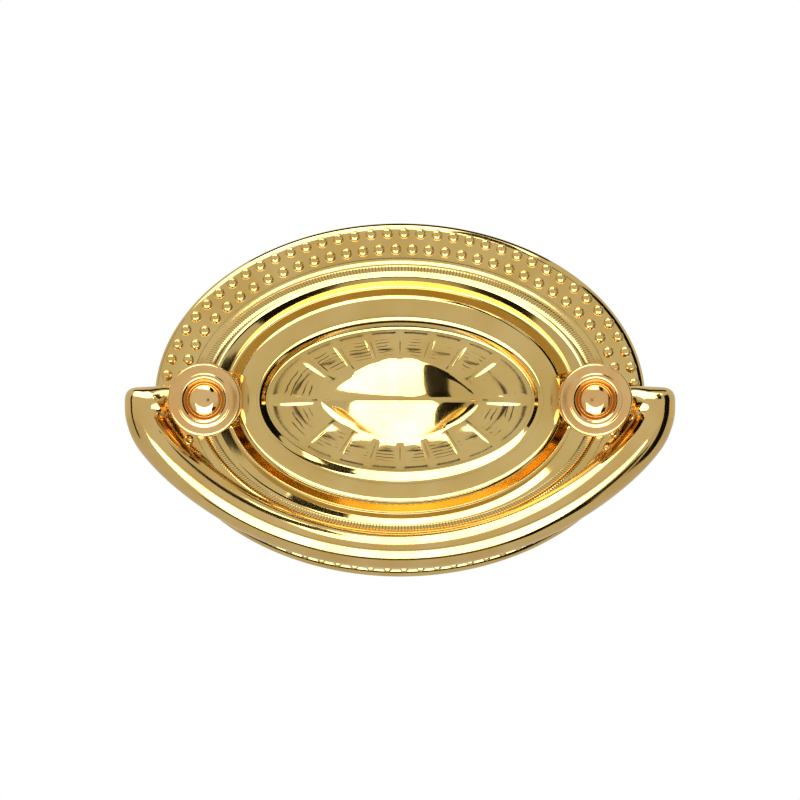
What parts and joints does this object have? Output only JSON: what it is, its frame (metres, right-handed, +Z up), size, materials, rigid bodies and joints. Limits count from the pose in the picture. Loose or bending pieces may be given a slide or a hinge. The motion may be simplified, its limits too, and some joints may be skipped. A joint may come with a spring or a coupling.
{
  "type": "bail pull",
  "caption": "Oval pressed backplate with beaded border and fluted centre, round posts and a swinging bail handle, held by threaded studs and square nuts.",
  "frame": {"origin": "midway between the two studs, in the plane where the back of the plate's rim lies on the drawer front", "axes": "+X to the right seen from the front, +Z up, +Y into the drawer front along the studs, so the pull's front looks along -Y"},
  "size_m": [0.0716, 0.0367, 0.0464],
  "materials": {
    "pressed_brass": "polished and lacquered",
    "cast_brass": "polished, left rough on the inner sides of the arms",
    "turned_brass": "turned and polished",
    "stud_brass": "rolled thread, bright",
    "nut_brass": "plain"
  },
  "bodies": {
    "mounted": {"backplate": "pressed_brass", "post_left": "turned_brass", "post_right": "turned_brass", "stud_left": "stud_brass", "stud_right": "stud_brass", "nut_left": "nut_brass", "nut_right": "nut_brass"},
    "bail": {"bail": "cast_brass"}
  },
  "joints": [
    {"name": "bail_swing", "type": "hinge", "parent": "mounted", "child": "bail", "pos_m": [0, -0.0113, 0], "axis": [-1, 0, 0], "range_deg": [-18, 198]}
  ]
}
